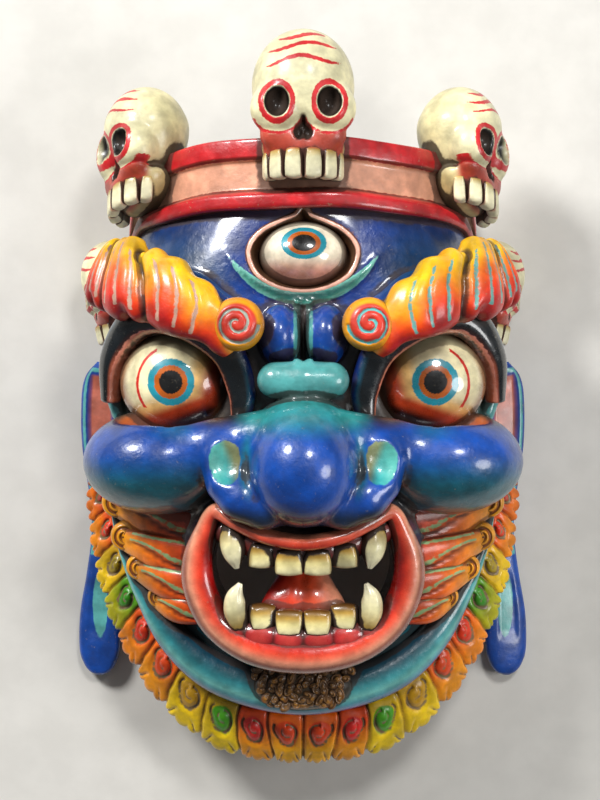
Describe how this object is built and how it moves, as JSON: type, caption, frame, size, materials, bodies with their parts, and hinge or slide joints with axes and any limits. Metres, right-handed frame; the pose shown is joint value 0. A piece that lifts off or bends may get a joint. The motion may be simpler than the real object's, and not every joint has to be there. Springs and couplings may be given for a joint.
{
  "type": "dance mask",
  "caption": "Carved and painted wooden dance mask of a wrathful three-eyed guardian with a skull crown, flame brows, bared fangs and long-lobed ears.",
  "frame": {"origin": "under the middle of the mask, in the plane of the back rim that it lies on", "axes": "+X across the face to the right of someone who looks at it; +Y up the face towards the crown; +Z out of the back towards the nose"},
  "size_m": [0.2888, 0.4334, 0.186],
  "materials": {
    "painted_face": "gloss varnish over paint",
    "painted_bone": "gloss varnish over paint",
    "painted_ear": "gloss varnish over paint"
  },
  "bodies": {
    "root": {"mask": "painted_face", "skull_center": "painted_bone", "skull_left": "painted_bone", "skull_right": "painted_bone", "skull_outer_left": "painted_bone", "skull_outer_right": "painted_bone", "ear_left": "painted_ear", "ear_right": "painted_ear"}
  },
  "joints": []
}
